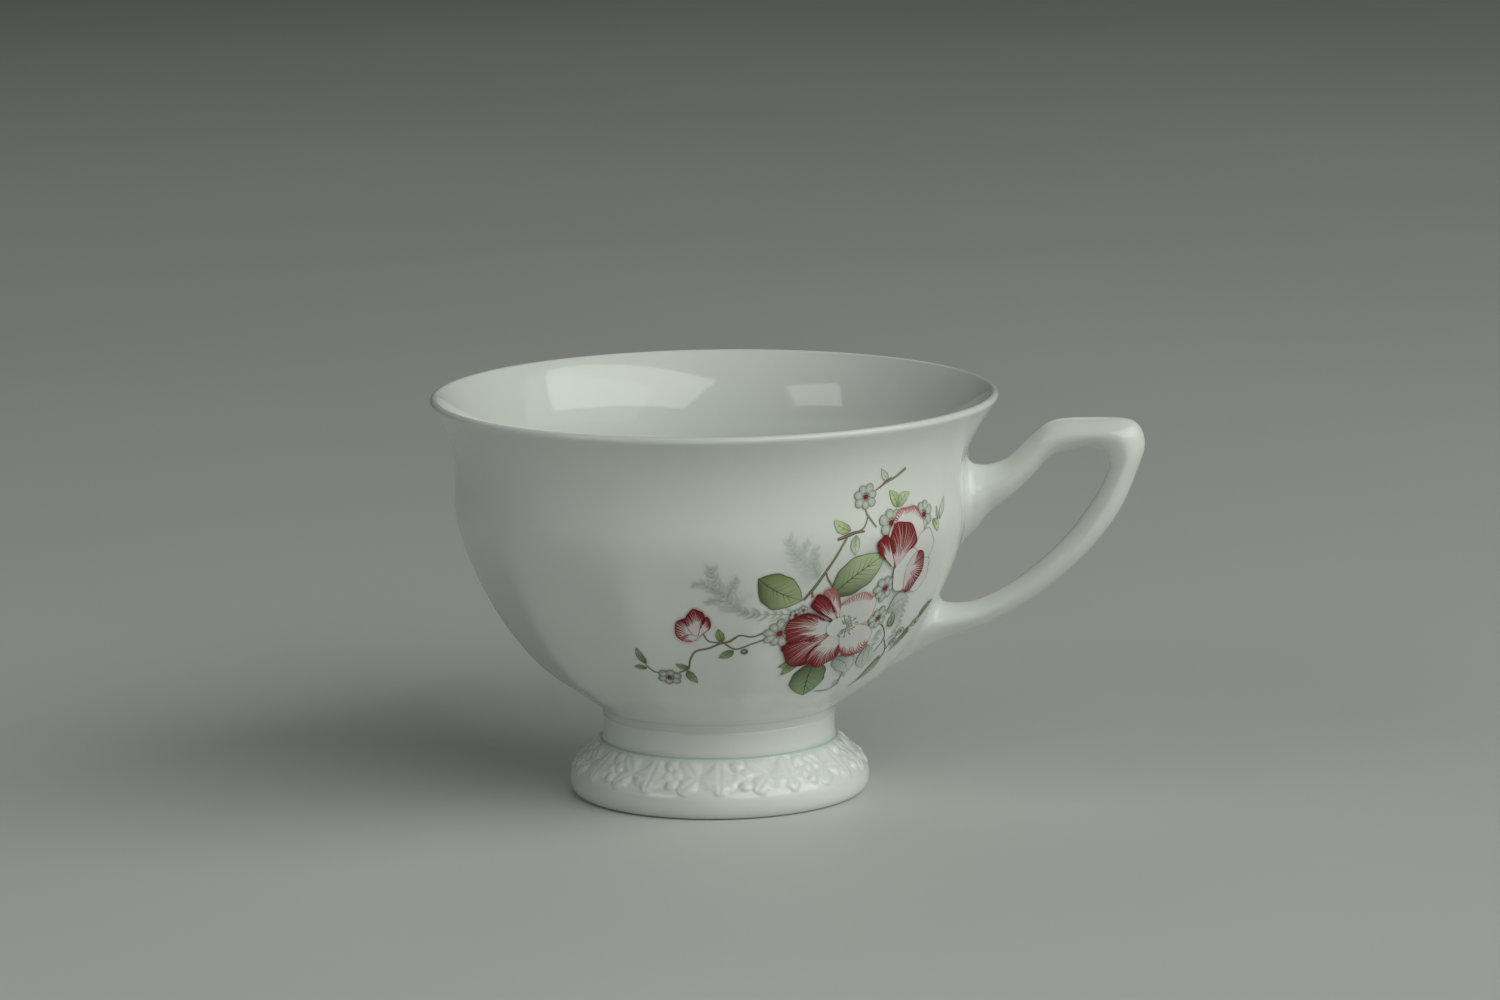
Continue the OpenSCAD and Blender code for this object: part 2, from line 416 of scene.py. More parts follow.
def bare_body(name):
    """Unglazed porcelain where the cup stood in the kiln: matt, finely grained, a little grey."""
    nodes = Nodes(name)
    colour = nodes.ramp(nodes.noise(900, 5, 0.7), [(0.3, (0.62, 0.60, 0.55)), (0.7, (0.78, 0.76, 0.71))])
    nodes.link(colour, nodes.shader.inputs["Base Color"])
    nodes.link(nodes.spread(nodes.noise(700, 3), 0.3, 0.7, 0.5, 0.7), nodes.shader.inputs["Roughness"])
    nodes.bump(nodes.noise(2200, 3), 0.5, 0.00006)
    return nodes.material


BOWL_GLAZE = porcelain("bowl_glaze", [(SEAT_Z, 1.0, 0.12)])
COLLAR_GLAZE = porcelain("collar_glaze", [(COLLAR_Z, 0.7, 0.4)])
FOOT_GLAZE = porcelain("foot_glaze", [(FOOT_TOP, 0.7, 0.45)])
HANDLE_GLAZE = porcelain("handle_glaze")
SLIP_GLAZE = porcelain("slip_glaze")
SEAM_GLAZE = porcelain("seam_glaze", [(FOOT_TOP, 1.5, 0.75), (SEAT_Z, 1.0, 0.15)])
BARE = bare_body("bare_standing_ring")


# ---- Bowl ----

def build_bowl():
    """The wall's outer face, the round lip and the inner face, closed under the seat and in the well."""
    columns = PANELS * 26
    angles = np.arange(columns) * 360 / columns
    outer = [wall_flush(angles, np.full(columns, s)) for s in RIDGE_S]
    lip = revolve(arc(LIP_CENTRE, LIP_T / 2, -31.5, 148.5, 14)[1:-1], columns)
    inner = revolve(INSIDE, columns)
    points = np.vstack([np.vstack(outer), lip, inner])
    faces = grid_faces(len(points) // columns, columns)
    points, faces = close_end(points, faces, columns, 0, up=False)
    points, faces = close_end(points, faces, columns, len(points) - 1 - columns, up=True)
    piece = add_mesh("bowl_porcelain", points, faces, BOWL_GLAZE)
    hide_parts("bowl")
    return piece


# ---- Collar ----

def build_collar():
    """A short ring, spread a little at both ends and rounded at its upper edge."""
    r, top = COLLAR_R, COLLAR_TOP
    side = curve([r + 0.23, COLLAR_Z], [r - 0.05, COLLAR_Z + 0.6], [r, top - 1.6],
                 [r + 0.13, top - 0.6], 14)
    edge = arc([r - 0.42, top - 0.55], 0.55, 5, 90, 8)
    inside = np.array([[HOLLOW_R + 0.3, top], [HOLLOW_R, top - 0.3], [HOLLOW_R, COLLAR_Z + 0.01]])
    profile = np.vstack([side, edge, inside])
    columns = 240
    piece = add_mesh("collar_porcelain", revolve(profile, columns), tube_faces(len(profile), columns),
                     COLLAR_GLAZE)
    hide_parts("neck_collar")
    return piece


def build_seat_fillet():
    """Slip wiped into the corner between the collar's rounded edge and the underside of the bowl."""
    columns, rows = 240, 8
    out = circle(columns)
    low = np.column_stack([(COLLAR_R - 0.02) * out, np.full(columns, COLLAR_TOP - 0.16)])
    high = wall(np.arange(columns) * 360 / columns, np.full(columns, 1.7), 0.01)
    corner = 0.5 * (low + high) - 0.12 * np.column_stack([out, np.zeros(columns)])
    points = [(1 - t) ** 2 * low + 2 * t * (1 - t) * corner + t * t * high
              for t in np.linspace(0, 1, rows)]
    return add_mesh("seat_fillet", np.vstack(points), grid_faces(rows, columns), SEAM_GLAZE,
                    smooth_angle=None)


# ---- Foot ----

# Height of the relief, and how many times it repeats round the foot
RELIEF_H = 0.5
MOTIFS = 12


def shoulder_line(steps):
    """The foot's shoulder, from its widest place up to the collar."""
    full, top = np.array([FOOT_R, 0.27 * FOOT_TOP]), np.array([COLLAR_R + 0.6, FOOT_TOP])
    return curve(full, full + [0, 3.2], top + [2.4, -3.8], top, steps)


def leaf_height(x, y, base, length, width, turn):
    """Raised leaf: softly domed, wavy at the edge, with a sunk midrib."""
    t = math.radians(turn)
    dx, dy = x - base[0], y - base[1]
    u = (dx * math.sin(t) + dy * math.cos(t)) / length
    w = (dx * math.cos(t) - dy * math.sin(t))
    inside = (u > 0) & (u < 1)
    uu = np.clip(u, 0, 1)
    half = width * np.sin(math.pi * uu ** 0.8) ** 0.6 * (1 + 0.08 * np.sin(uu * 15)) + 1e-6
    across = np.clip(np.abs(w) / half, 0, 1)
    dome = (1 - across ** 2) * np.sin(math.pi * uu ** 0.8) ** 0.4
    rib = 0.35 * np.exp(-(w / (0.2 * width)) ** 2)
    return np.where(inside, dome * (1 - rib), 0)


def berry_height(x, y, centre, radius):
    """Raised round berry."""
    d = np.hypot(x - centre[0], y - centre[1]) / radius
    return np.clip(1 - d ** 2, 0, 1) ** 0.75 * 1.1


def relief(x, y, step):
    """Height of the relief, 0 to about 1: x runs round the foot and y up its shoulder, within one
    repeat of length step. A lobed leaf, a bunch of berries and two slanting leaves."""
    leaves = [(0.20, 3.6, 5.2, 2.3, 0), (0.22, 4.4, 4.2, 2.0, -78), (0.18, 4.4, 4.2, 2.0, 78),
              (0.20, 4.6, 3.0, 1.7, 180), (0.62, 8.9, 5.0, 2.1, 140), (0.66, 2.0, 4.6, 1.9, 40)]
    berries = [(0.47, 7.6, 1.35), (0.58, 6.0, 1.3), (0.45, 5.2, 1.3), (0.54, 3.6, 1.25)]
    total = np.zeros_like(x)
    for shift in (-step, 0, step):
        for bx, by, length, width, turn in leaves:
            total += np.exp(5 * leaf_height(x, y, (bx * step + shift, by), length, width, turn)) - 1
        for bx, by, radius in berries:
            total += np.exp(5 * berry_height(x, y, (bx * step + shift, by), radius)) - 1
    return np.log1p(total) / 5


def raise_relief(points, shoulder):
    """Moves the shoulder's rows of points outwards by the height of the relief."""
    climb = lengths(shoulder)
    columns = points.shape[1]
    repeat = 360 / MOTIFS
    within = np.radians(np.mod(np.arange(columns) * 360 / columns, repeat))
    last = len(shoulder) - 1
    for i, (r, _) in enumerate(shoulder):
        ahead = shoulder[min(i + 1, last)] - shoulder[max(i - 1, 0)]
        out = np.array([ahead[1], -ahead[0]]) / np.hypot(*ahead)
        fade = ease(0.2, 1.2, climb[i]) * ease(0.0, 0.9, climb[-1] - climb[i])
        h = relief(within * r, np.full(columns, climb[i]), math.radians(repeat) * r) * RELIEF_H * fade
        points[i] += np.column_stack([out[0] * h[:, None] * circle(columns), out[1] * h])


def build_foot():
    """The spreading foot with its relief and hollow. The flat standing ring has no glaze."""
    columns = MOTIFS * 56
    shoulder = shoulder_line(46)
    inner, outer = STAND_R
    lower = curve([outer, 0], [outer + 1.2, 0], [FOOT_R, shoulder[0][1] - 1.5], shoulder[0], 16)
    hollow = curve([HOLLOW_R, FOOT_TOP], [HOLLOW_R + 1, FOOT_TOP - 4], [inner - 1, 2.5], [inner, 0], 18)
    profile = np.vstack([lower, shoulder[1:], hollow])
    points = revolve(profile, columns).reshape(len(profile), columns, 3)
    first = len(lower) - 1
    raise_relief(points[first:first + len(shoulder)], shoulder)
    faces = tube_faces(len(profile), columns)
    piece = add_mesh("foot_porcelain", points.reshape(-1, 3), faces, FOOT_GLAZE)
    piece.data.materials.append(BARE)
    for polygon in piece.data.polygons[-columns:]:
        polygon.material_index = 1
    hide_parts("foot")
    return piece


# ---- Handle ----

# 2 would make the section an ellipse and 1 a sharp lozenge
HANDLE_SHAPE = 1.6
# Radius of the slip smoothed round the handle's roots
FILLET = 1.7
# How far short of the wall's inner face the handle's ends stop
ROOT_COVER = 0.35
# Outer edge, inner edge (each as distance from the axis and height) and half width, from the upper
# root over the knee and down to the lower root
STATIONS = [
    (42.0, 58.4, 42.0, 43.6, 5.2), (45.0, 57.5, 45.0, 46.0, 4.7), (47.6, 57.5, 47.4, 49.0, 4.0),
    (50.8, 58.8, 50.8, 51.6, 3.7), (54.2, 62.2, 54.6, 55.1, 3.5), (58.2, 65.1, 58.2, 58.9, 3.5),
    (64.6, 65.7, 63.6, 60.4, 3.5), (72.0, 65.2, 67.0, 59.8, 3.6), (74.2, 61.4, 68.1, 57.4, 3.6),
    (72.7, 56.0, 66.9, 54.2, 3.5), (69.6, 49.1, 64.8, 50.6, 3.5), (64.2, 42.1, 60.6, 45.0, 3.5),
    (56.2, 35.0, 53.3, 38.3, 3.5), (47.8, 29.9, 45.9, 34.0, 3.6), (41.0, 27.3, 40.6, 33.2, 4.0),
    (36.0, 25.2, 37.6, 34.2, 4.6), (31.4, 22.4, 35.2, 35.6, 5.2),
    (26.2, 20.2, 31.8, 33.6, 5.2),
]


def handle_rings(per_span, columns):
    """Cross-sections of the handle, each a lozenge with round corners. Both ends stop inside the
    wall, short of its inner face."""
    rings = []
    even = circle(columns)
    u, v = (np.sign(even) * np.abs(even) ** (2 / HANDLE_SHAPE)).T
    for q in through(STATIONS, per_span):
        outer, inner = q[0:2], q[2:4]
        mid, reach = (outer + inner) / 2, (outer - inner) / 2
        ring = np.stack([mid[0] + reach[0] * u, q[4] * v, mid[1] + reach[1] * u], 1)
        far = np.hypot(ring[:, 0], ring[:, 1])
        least = np.interp(ring[:, 2], INSIDE[::-1, 1], INSIDE[::-1, 0]) + ROOT_COVER
        ring[:, :2] *= np.maximum(1, least / far)[:, None]
        rings.append(ring)
    return np.array(rings)


def build_handle():
    """The handle's arm, closed at both ends inside the wall."""
    columns = 40
    rings = handle_rings(9, columns)
    points = rings.reshape(-1, 3)
    points[:, 0] = np.minimum(points[:, 0], HANDLE_REACH)
    faces = [f[::-1] for f in grid_faces(len(rings), columns)]
    points, faces = close_end(points, faces, columns, 0, up=True)
    points, faces = close_end(points, faces, columns, (len(rings) - 1) * columns, up=False)
    piece = add_mesh("handle_porcelain", points, faces, HANDLE_GLAZE, smooth_angle=60)
    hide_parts("handle")
    return piece


def wall_gap(p):
    """Distance of points near the handle from the bowl's face, and the face's outward direction."""
    angle = np.degrees(np.arctan2(p[:, 1], p[:, 0]))
    s = np.interp(p[:, 2], RIDGE[:, 1], RIDGE_S)
    n = wall_normal(angle, s)
    return np.sum((p - wall_flush(angle, s)) * n, axis=1), n


def build_root_fillet(name, node, rings):
    """Slip smoothed into a hollow round where the handle meets the bowl. rings run from the arm
    into the wall."""
    columns = rings.shape[1]
    gaps, normals = zip(*(wall_gap(ring) for ring in rings))
    gaps, normals = np.array(gaps), np.array(normals)
    centres = rings.mean(1)
    rows = []
    levels = FILLET * (1 - np.linspace(0, 1, 12)) ** 1.6
    for level in levels:
        row = []
        for j in range(columns):
            k = max(1, int(np.argmax(gaps[:, j] < level)))
            g0, g1 = gaps[k - 1, j], gaps[k, j]
            t = (g0 - level) / (g0 - g1)
            p = rings[k - 1, j] * (1 - t) + rings[k, j] * t
            out = p - (centres[k - 1] * (1 - t) + centres[k] * t)
            n = normals[k, j]
            out = out - n * np.dot(out, n)
            out /= np.linalg.norm(out)
            share = 1 - level / FILLET
            row.append(p + out * FILLET * (1 - math.sqrt(max(0.0, 1 - share ** 2))) + out * 0.01)
        rows.append(row)
    points = np.array(rows).reshape(-1, 3)
    piece = add_mesh(name, points, grid_faces(len(rows), columns), SLIP_GLAZE, smooth_angle=None)
    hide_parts(node)
    return piece


def build_handle_joints():
    """The slip round the upper root and round the lower root."""
    rings = handle_rings(30, 48)
    half = len(rings) // 2
    return [
        build_root_fillet("upper_root_slip", "upper_handle_slip", rings[half::-1]),
        build_root_fillet("lower_root_slip", "lower_handle_slip", rings[half:]),
    ]


# ---- Painted sprays ----
#
# Every mark is a thin patch that follows the bowl's face. Its tint is how much of the white it lets
# through, so a tint of 1 is bare porcelain and soft marks fade out without an edge.

BARE_TINT = (1.0, 1.0, 1.0)
CRIMSON = (0.36, 0.0, 0.006)
DEEP_CRIMSON = (0.15, 0.0, 0.002)
PINK = (0.92, 0.42, 0.45)
LEAF_SAGE = (0.48, 0.56, 0.36)
LEAF_MID = (0.44, 0.55, 0.29)
LEAF_DARK = (0.18, 0.225, 0.10)
LEAF_DEEP = (0.12, 0.14, 0.08)
LINE_OLIVE = (0.34, 0.31, 0.20)
TWIG_BROWN = (0.22, 0.17, 0.10)
TWIG_OLIVE = (0.36, 0.31, 0.19)
TWIG_PALE = (0.55, 0.47, 0.32)
BLOOM_GREY = (0.58, 0.62, 0.55)
BLOOM_PALE = (0.82, 0.86, 0.79)
BLOOM_LINE = (0.34, 0.36, 0.29)
BLOOM_HEART = (0.30, 0.04, 0.05)
FERN_GREY = (0.52, 0.58, 0.50)
SHADOW_BLUE = (0.56, 0.62, 0.62)
# Each coat of paint lies this much above the one below
COAT_STEP = 0.006
# Distance between the strokes that hatch a petal's rim
HATCH_GAP = 0.62
# Degrees between a frond's stem and its side strokes
FROND_LEAN = 42


def blend(a, b, t):
    """Tint between a and b; t may be an array."""
    t = np.asarray(t, float)[..., None]
    return np.asarray(a) * (1 - t) + np.asarray(b) * t


class Chart:
    """Flat map in millimetres about one place on the bowl: x to the right, y up the wall."""

    def __init__(self, angle, z):
        self.angle = angle
        self.s = s_of(z)

    def mm_per_degree(self, s):
        """Length of a degree round the wall, s up it."""
        z = np.interp(s, RIDGE_S, RIDGE[:, 1])
        return np.radians(1) * np.interp(s, RIDGE_S, RIDGE[:, 0]) * section(self.angle, z)

    def flat(self, places):
        """Places given as (angle, height) as points of the map."""
        p = np.atleast_2d(np.asarray(places, float))
        s = np.interp(p[:, 1], RIDGE[:, 1], RIDGE_S)
        return np.stack([(p[:, 0] - self.angle) * self.mm_per_degree(s), s - self.s], 1)

    def wall(self, points):
        """Points of the map as (angle, distance up the wall)."""
        p = np.asarray(points, float)
        s = self.s + p[..., 1]
        return np.stack([self.angle + p[..., 0] / self.mm_per_degree(s), s], -1)


class Enamel:
    """Marks painted on the bowl, gathered into one piece whose lowest coat lies rise off the face."""

    def __init__(self, name, rise):
        self.name = name
        self.rise = rise
        self.spots, self.lifts, self.tints, self.faces = [], [], [], []
        self.count = 0

    def sheet(self, chart, points, tints, coat, closed=False):
        """Adds a grid of points of the chart, with a tint at each."""
        rows, columns = points.shape[:2]
        self.spots.append(chart.wall(points).reshape(-1, 2))
        self.tints.append(np.broadcast_to(tints, (rows, columns, 3)).reshape(-1, 3))
        self.lifts.append(np.full(rows * columns, self.rise + coat * COAT_STEP))
        self.faces += grid_faces(rows, columns, closed, self.count)
        self.count += rows * columns

    def stroke(self, chart, points, widths, tint, coat, end_tint=None):
        """A brush stroke through points of the chart. Its width runs evenly through the listed
        widths, and its tint runs to end_tint."""
        line = through(points, 5)
        share = np.linspace(0, 1, len(line))
        half = np.interp(share, np.linspace(0, 1, len(widths)), widths) / 2
        run = np.gradient(line, axis=0)
        side = np.stack([-run[:, 1], run[:, 0]], 1) / (np.hypot(run[:, 0], run[:, 1])[:, None] + 1e-9)
        grid = np.stack([line - side * half[:, None], line + side * half[:, None]])
        tints = blend(tint, tint if end_tint is None else end_tint, share)
        self.sheet(chart, grid, tints[None], coat)

    def fill(self, chart, outline, heart, tint_of, coat, rings):
        """A filled shape. tint_of turns the share of the way out from the heart into a tint."""
        out = np.linspace(0.02, 1, rings)[:, None]
        grid = np.asarray(heart) * (1 - out[..., None]) + np.asarray(outline) * out[..., None]
        self.sheet(chart, grid, tint_of(out), coat, closed=True)

    def wash(self, place, size, tint, coat, turn=0.0):
        """A soft oval of colour that fades to nothing at its edge."""
        oval = turned(circle(28) * size, math.radians(turn))
        self.fill(Chart(*place), oval, (0, 0), lambda out: blend(tint, BARE_TINT, ease(0, 1, out)),
                  coat, 10)

    def twig(self, places, widths, tint, coat, end_tint=None):
        """A woody stroke with a paler line of light along it."""
        chart = Chart(*places[0])
        line = chart.flat(places)
        self.stroke(chart, line, widths, tint, coat, end_tint)
        lit = blend(tint, TWIG_PALE, 0.6)
        self.stroke(chart, line + [0.03, 0.04], [w * 0.3 for w in widths], lit, coat + 1)

    def leaf(self, dark_end, pale_end, half, dark=LEAF_DARK, pale=LEAF_MID, coat=0, bend=0.05, veins=2,
             fullest=0.45):
        """A leaf between two places, dark at the first and pale at the second. half is half its
        width, and fullest is how far along its widest place is."""
        chart = Chart(*dark_end)
        tip = chart.flat([pale_end])[0]
        length = np.hypot(*tip)
        along = tip / length
        across = np.array([-along[1], along[0]])
        u = np.linspace(0, 1, 22)
        spine = u[:, None] * tip + (bend * length * np.sin(math.pi * u))[:, None] * across
        power = math.log(0.5) / math.log(fullest)
        width = half * np.sin(math.pi * u ** power) ** 0.8 * (1 + 0.04 * np.sin(u * 26))
        w = np.linspace(-1, 1, 9)
        grid = spine[:, None] + (width[:, None] * w)[..., None] * across
        shade = np.clip(0.92 - 1.5 * u[:, None] + 0.38 * w ** 2 - 0.2 * w, 0, 1)
        self.sheet(chart, grid, blend(pale, dark, shade), coat)
        self.leaf_lines(chart, spine, grid, along, half, dark, pale, coat, veins)

    def leaf_lines(self, chart, spine, grid, along, half, dark, pale, coat, veins):
        """The outline, midrib and veins of a leaf."""
        edge = blend(dark, LEAF_DEEP, 0.5)
        thick = min(1.0, 0.45 + 0.2 * half)
        for side in (0, -1):
            self.stroke(chart, grid[::3, side], [0.18 * thick, 0.15 * thick, 0.1 * thick], edge,
                        coat + 2, blend(edge, dark, 0.5))
        self.stroke(chart, spine[::3], [0.26 * thick, 0.18 * thick, 0.08], edge, coat + 2, dark)
        for k in range(veins):
            i = 2 + int(k * 15 / veins)
            j = min(i + 4, 21)
            for side in (-1, 1):
                bend = (spine[i] + grid[j - 1, 4 + 2 * side]) / 2 + along * 0.1
                rib = [spine[i], bend, grid[j, 4 + 3 * side]]
                self.stroke(chart, rib, [0.17 * thick, 0.15 * thick, 0.05], blend(edge, pale, 0.12),
                            coat + 1, blend(edge, pale, 0.6))

    def outline_leaf(self, base, tip, half, coat):
        """A leaf drawn only as a thin line."""
        chart = Chart(*base)
        end = chart.flat([tip])[0]
        across = np.array([-end[1], end[0]]) / np.hypot(*end)
        for side in (-1, 1):
            bow = [(0, 0), end * 0.45 + across * half * side, end]
            self.stroke(chart, bow, [0.14, 0.08], LINE_OLIVE, coat)
        self.stroke(chart, [(0, 0), end * 0.5, end * 0.8], [0.09, 0.05], LINE_OLIVE, coat)

    def blossom(self, place, radius, petals, turn, coat, squash=1.0, grey=BLOOM_GREY):
        """A small open flower with round grey-white petals and a crimson heart."""
        chart = Chart(*place)
        press = np.array([squash, 1.0])
        across = min(0.42, 0.62 * math.sin(math.pi / petals) * 1.12)
        x, y = circle(20).T
        lobe = np.stack([0.62 + 0.38 * x, across * y * (1 + 0.18 * x)], 1)
        for k in range(petals):
            t = math.radians(turn + 360 * k / petals)
            r = radius * (1 + 0.07 * math.sin(2.3 * k + turn))
            outline = turned(r * lobe, t)
            level = coat + 2 * (k % 2)
            self.fill(chart, outline * press, 0.5 * r * ray(t) * press,
                      lambda out: blend(BLOOM_PALE, grey, ease(0.1, 1, out) * 0.9), level, 5)
            rim = np.vstack([outline[14:], outline[:8]])
            self.stroke(chart, rim * press, [0.07, 0.12, 0.13, 0.12, 0.07], BLOOM_LINE, level + 1)
            for spread in (-0.22, 0.0, 0.22):
                line = np.outer([0.27, 0.4, 0.52], r * ray(t + spread))
                self.stroke(chart, line * press, [0.08, 0.04], BLOOM_LINE, level + 1, grey)
        self.blossom_heart(chart, radius, press, coat + 4)

    def blossom_heart(self, chart, radius, press, coat):
        """The crimson disc of a blossom and the dots round it."""
        self.fill(chart, 0.2 * radius * circle(20) * press, (0, 0),
                  lambda out: blend(BLOOM_HEART, CRIMSON, ease(0.3, 1, out)), coat, 4)
        for dot in 0.33 * radius * circle(9) * press:
            self.stroke(chart, [dot * 0.85, dot, dot * 1.12], [0.1, 0.1], DEEP_CRIMSON, coat + 1)

    def petal(self, heart, edge, coat, red, reach, span, dark, body, seed):
        """A large petal: edge is the run of places round its rim from one side of the heart to the
        other. red sets how strongly the rim is hatched with crimson over a span of the edge, and
        reach how far in towards the heart the hatching runs."""
        chart = Chart(*heart)
        line = through(np.vstack([[(0, 0)], chart.flat(edge), [(0, 0)]]), 12)[:-1]
        share = np.linspace(0, 1, len(line), endpoint=False)
        place = line * (1 + 0.025 * np.sin(31 * share + seed) * np.sin(math.pi * share))[:, None]
        core = 0.3 * place.mean(0)
        rim_share = np.clip((share - 0.12) / 0.76, 0, 1)
        middle, half_span = sum(span) / 2, (span[1] - span[0]) / 2
        near = 1 - ease(0.8, 1.15, np.abs(rim_share - middle) / half_span)

        def tint_of(out):
            depth = ease(1 - reach, 1.05, out) * near * red
            soft = blend(body, PINK, np.clip(depth * 1.2, 0, 1) * 0.7)
            strong = (0.5 * depth ** 2.5 if dark == CRIMSON else 0.8 * depth ** 1.4)[..., None]
            return soft * (1 - strong) + np.asarray(dark) * strong

        self.fill(chart, place, core, tint_of, coat, 14)
        line_tint = blend(dark, DEEP_CRIMSON, 0.3) if red > 0.65 else blend(PINK, LINE_OLIVE, 0.35)
        self.stroke(chart, place[::4], [0.06, 0.13, 0.13, 0.13, 0.06], line_tint, coat + 2)
        if red > 0.05:
            self.hatch(chart, place, core, coat + 3, red, reach, span, seed)

    def hatch(self, chart, outline, core, coat, red, reach, span, seed):
        """Crimson strokes from a petal's rim in towards its core, shorter at the ends of the span."""
        rng = np.random.default_rng(seed)
        middle, half_span = sum(span) / 2, (span[1] - span[0]) / 2
        count = max(5, int(lengths(outline)[-1] * 2 * half_span / HATCH_GAP))
        ink = blend(PINK, CRIMSON, min(1.0, 1.2 * red))
        for k in range(count):
            at = span[0] + 2 * half_span * (k + 0.5) / count
            spot = (0.12 + 0.76 * at) * len(outline)
            low = int(spot) % len(outline)
            rim = outline[low] * (1 - spot % 1) + outline[(low + 1) % len(outline)] * (spot % 1)
            fade = 1 - (abs(at - middle) / half_span) ** 3
            depth = min(reach * (0.5 + 0.5 * fade) * (0.75 + 0.5 * rng.random()), 0.92)
            inner = rim + (core - rim) * depth
            bend = (rim + inner) / 2 + 0.05 * (rng.random(2) - 0.5 + [inner[1], -inner[0]])
            width = 0.28 + 0.08 * rng.random()
            start = blend(ink, DEEP_CRIMSON, (0.4 + 0.4 * rng.random()) * red)
            self.stroke(chart, [rim, bend, inner], [width, width * 0.8, width * 0.4, 0.04], start, coat,
                        blend(ink, PINK, 0.2))

    def frond(self, places, reach, tint, coat, count):
        """A soft fern frond: a stem with count short strokes on each side, leaning forwards."""
        chart = Chart(*places[0])
        line = through(chart.flat(places), 8)
        self.stroke(chart, line[::4], [0.22, 0.14, 0.06], tint, coat, blend(tint, BARE_TINT, 0.5))
        for k in range(count):
            i = int((k + 0.5) / count * (len(line) - 2))
            run = line[i + 1] - line[i]
            heading = math.atan2(run[1], run[0])
            for side in (-1, 1):
                size = 1.3 * reach * (1 - 0.55 * k / count) * (0.8 + 0.25 * math.sin(3.1 * k + side))
                lean = side * math.radians(FROND_LEAN)
                mid = line[i] + 0.55 * size * ray(heading + lean)
                end = mid + 0.5 * size * ray(heading + 0.6 * lean)
                self.stroke(chart, [line[i], mid, end], [0.16, 0.5, 0.55, 0.4, 0.08],
                            blend(tint, BARE_TINT, 0.2), coat, blend(tint, BARE_TINT, 0.85))

    def finish(self, material):
        """Builds the gathered marks as a mesh with the bowl's own surface directions."""
        spots, lifts = np.vstack(self.spots), np.concatenate(self.lifts)
        points = wall(spots[:, 0], spots[:, 1], lifts)
        corners = spots[np.array(self.faces)]
        first, second = corners[:, 2] - corners[:, 0], corners[:, 3] - corners[:, 1]
        inward = first[:, 0] * second[:, 1] < first[:, 1] * second[:, 0]
        faces = [face[::-1] if back else face for face, back in zip(self.faces, inward)]
        mesh = bpy.data.meshes.new(self.name)
        mesh.from_pydata((points * MM).tolist(), [], faces)
        tints = np.ones((len(points), 4))
        tints[:, :3] = np.vstack(self.tints)
        layer = mesh.color_attributes.new("tint", "FLOAT_COLOR", "POINT")
        layer.data.foreach_set("color", tints.ravel())
        mesh.polygons.foreach_set("use_smooth", [True] * len(mesh.polygons))
        mesh.normals_split_custom_set_from_vertices(wall_normal(spots[:, 0], spots[:, 1]).tolist())
        mesh.materials.append(material)
        piece = bpy.data.objects.new(self.name, mesh)
        bpy.context.scene.collection.objects.link(piece)
        return piece


def enamel_material():
    """Overglaze colours: the bowl's white seen through the painted tint, less glossy than the glaze."""
    nodes = Nodes("overglaze_enamel")
    tint = nodes.tree.nodes.new("ShaderNodeVertexColor")
    tint.layer_name = "tint"
    worn = nodes.ramp(nodes.noise(300, 3), [(0.3, (0.93, 0.93, 0.93)), (0.7, (1.0, 1.0, 1.0))])
    painted = nodes.mix(1.0, body_white(nodes), tint.outputs["Color"], "MULTIPLY")
    colour = nodes.mix(1.0, painted, worn, "MULTIPLY")
    nodes.link(colour, nodes.shader.inputs["Base Color"])
    glaze(nodes)
    nodes.shader.inputs["Specular IOR Level"].default_value = 0.22
    nodes.shader.inputs["Subsurface Weight"].default_value = 0.0
    return nodes.material


